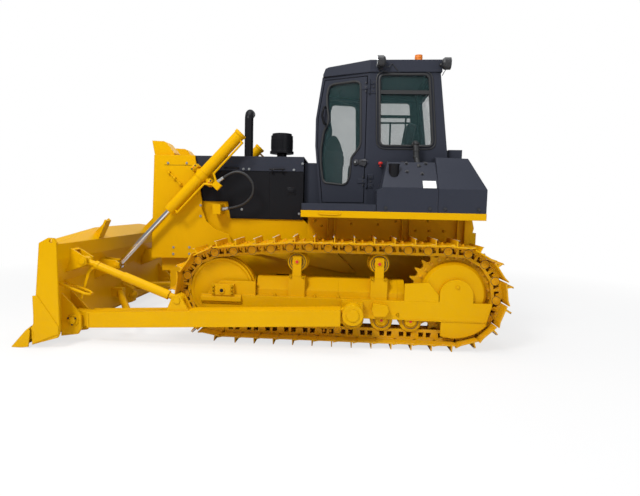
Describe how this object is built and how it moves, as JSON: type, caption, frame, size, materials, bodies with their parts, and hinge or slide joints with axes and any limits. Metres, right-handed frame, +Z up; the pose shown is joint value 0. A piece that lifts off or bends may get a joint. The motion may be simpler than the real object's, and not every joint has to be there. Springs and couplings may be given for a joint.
{
  "type": "bulldozer",
  "caption": "Track-type dozer with a straight tilting blade, twin lift cylinders, push arms and an enclosed cab with two swinging doors.",
  "frame": {"origin": "on the ground, under the middle of the bounding box", "axes": "+X forward to the blade, +Y to the operator's left, +Z up"},
  "size_m": [5.145, 3.388, 3.198],
  "materials": {
    "yellow_paint": "gloss yellow-orange machine enamel",
    "dark_paint": "satin anthracite paint",
    "black_paint": "satin black paint",
    "track_steel": "yellow enamel over cast and rolled steel",
    "chrome_rod": "hard chromed and polished",
    "window_glass": "tinted safety glass",
    "seat_cover": "dark woven cover",
    "console_plastic": "grained dark plastic",
    "lamp": "black lamp housing",
    "beacon_lens": "amber lens",
    "hose_rubber": "black hydraulic hose",
    "edge_steel": "yellow enamel over hardened steel"
  },
  "bodies": {
    "chassis": {"main_frame": "yellow_paint", "equalizer_bar": "yellow_paint", "engine_block": "yellow_paint", "radiator_guard": "yellow_paint", "radiator_grille": "black_paint", "hood": "dark_paint", "engine_panels": "black_paint", "exhaust_pipe": "black_paint", "air_precleaner": "black_paint", "deck": "dark_paint", "fenders": "yellow_paint", "fuel_tank": "dark_paint", "side_boxes": "dark_paint", "cab_shell": "dark_paint", "cab_roof": "dark_paint", "cab_glass": "window_glass", "operator_seat": "seat_cover", "control_console": "console_plastic", "work_lights": "lamp", "beacon": "beacon_lens", "drawbar": "yellow_paint", "track_frames": "yellow_paint", "track_left": "track_steel", "track_right": "track_steel", "idlers": "yellow_paint", "sprockets": "track_steel", "carrier_rollers": "yellow_paint", "track_rollers": "yellow_paint", "final_drives": "yellow_paint", "hose_left": "hose_rubber", "hose_right": "hose_rubber"},
    "blade": {"blade_moldboard": "yellow_paint", "cutting_edges": "edge_steel", "diagonal_struts": "yellow_paint"},
    "lift_link": {"centre_ball": "yellow_paint"},
    "push_arm_left": {"push_arm_left": "yellow_paint"},
    "push_arm_right": {"push_arm_right": "yellow_paint"},
    "brace_left": {"brace_left": "yellow_paint"},
    "tilt_barrel": {"tilt_barrel": "yellow_paint"},
    "tilt_rod": {"tilt_rod": "chrome_rod"},
    "door_left": {"cab_door_left": "dark_paint", "door_glass_left": "window_glass"},
    "door_right": {"cab_door_right": "dark_paint", "door_glass_right": "window_glass"},
    "lift_yoke_left": {"lift_yoke_left": "yellow_paint"},
    "lift_barrel_left": {"lift_barrel_left": "yellow_paint"},
    "lift_rod_left": {"lift_rod_left": "chrome_rod"},
    "lift_yoke_right": {"lift_yoke_right": "yellow_paint"},
    "lift_barrel_right": {"lift_barrel_right": "yellow_paint"},
    "lift_rod_right": {"lift_rod_right": "chrome_rod"}
  },
  "joints": [
    {"name": "blade_lift", "type": "hinge", "parent": "chassis", "child": "lift_link", "pos_m": [-0.773, 0, 0.39], "axis": [0, -1, 0], "range_deg": [-9.5, 17.5]},
    {"name": "blade_tilt", "type": "hinge", "parent": "lift_link", "child": "blade", "pos_m": [2.066, 0, 0.242], "axis": [0.9028, -0.4301, 0], "range_deg": [-6.9, 6.9]},
    {"name": "arm_left_swing", "type": "hinge", "parent": "lift_link", "child": "push_arm_left", "pos_m": [-0.773, 1.3525, 0.39], "axis": [0, -1, 0], "range_deg": [-4, 4]},
    {"name": "arm_right_swing", "type": "hinge", "parent": "lift_link", "child": "push_arm_right", "pos_m": [-0.773, -1.3525, 0.39], "axis": [0, -1, 0], "range_deg": [-4, 4]},
    {"name": "brace_left_swing", "type": "hinge", "parent": "push_arm_left", "child": "brace_left", "pos_m": [0.992, 1.36, 0.475], "axis": [0, 0, 1], "range_deg": [-6, 6]},
    {"name": "tilt_barrel_swing", "type": "hinge", "parent": "push_arm_right", "child": "tilt_barrel", "pos_m": [0.992, -1.36, 0.475], "axis": [0, 0.1375, 0.9905], "range_deg": [-6, 6]},
    {"name": "tilt_rod_slide", "type": "slide", "parent": "tilt_barrel", "child": "tilt_rod", "axis": [0.9359, 0, 0.3523], "range_m": [-0.08, 0.08]},
    {"name": "lift_yoke_left_swing", "type": "hinge", "parent": "chassis", "child": "lift_yoke_left", "pos_m": [0.95, 0.6, 1.777], "axis": [0, -1, 0], "range_deg": [-14, 26], "deforming": ["hose_left"]},
    {"name": "lift_barrel_left_sway", "type": "hinge", "parent": "lift_yoke_left", "child": "lift_barrel_left", "pos_m": [0.95, 0.67, 1.777], "axis": [0.7285, 0, 0.685], "range_deg": [-3, 3]},
    {"name": "lift_rod_left_slide", "type": "slide", "parent": "lift_barrel_left", "child": "lift_rod_left", "axis": [-0.685, 0, 0.7285], "range_m": [-0.42, 0.72]},
    {"name": "lift_yoke_right_swing", "type": "hinge", "parent": "chassis", "child": "lift_yoke_right", "pos_m": [0.95, -0.6, 1.777], "axis": [0, -1, 0], "range_deg": [-14, 26], "deforming": ["hose_right"]},
    {"name": "lift_barrel_right_sway", "type": "hinge", "parent": "lift_yoke_right", "child": "lift_barrel_right", "pos_m": [0.95, -0.67, 1.777], "axis": [0.7285, 0, 0.685], "range_deg": [-3, 3]},
    {"name": "lift_rod_right_slide", "type": "slide", "parent": "lift_barrel_right", "child": "lift_rod_right", "axis": [-0.685, 0, 0.7285], "range_m": [-0.42, 0.72]},
    {"name": "cab_door_left_swing", "type": "hinge", "parent": "chassis", "child": "door_left", "pos_m": [-0.90032, 0.73105, 2.1], "axis": [0, 0, 1], "range_deg": [0, 100]},
    {"name": "cab_door_right_swing", "type": "hinge", "parent": "chassis", "child": "door_right", "pos_m": [-0.90032, -0.73105, 2.1], "axis": [0, 0, -1], "range_deg": [0, 100]}
  ],
  "couplings": [
    {"joint": "arm_left_swing", "follows": "blade_tilt", "ratio": 0.4301},
    {"joint": "arm_right_swing", "follows": "blade_tilt", "ratio": -0.4301},
    {"joint": "brace_left_swing", "follows": "blade_tilt", "ratio": -0.5538},
    {"joint": "tilt_barrel_swing", "follows": "blade_tilt", "ratio": -0.5591},
    {"joint": "tilt_rod_slide", "follows": "blade_tilt", "m_per_rad": -0.4558},
    {"joint": "lift_yoke_left_swing", "follows": "blade_lift", "ratio": 1.275},
    {"joint": "lift_barrel_left_sway", "follows": "blade_tilt", "ratio": -0.2975},
    {"joint": "lift_rod_left_slide", "follows": "blade_lift", "m_per_rad": 2.115},
    {"joint": "lift_yoke_right_swing", "follows": "blade_lift", "ratio": 1.275},
    {"joint": "lift_barrel_right_sway", "follows": "blade_tilt", "ratio": -0.2975},
    {"joint": "lift_rod_right_slide", "follows": "blade_lift", "m_per_rad": 2.115}
  ]
}
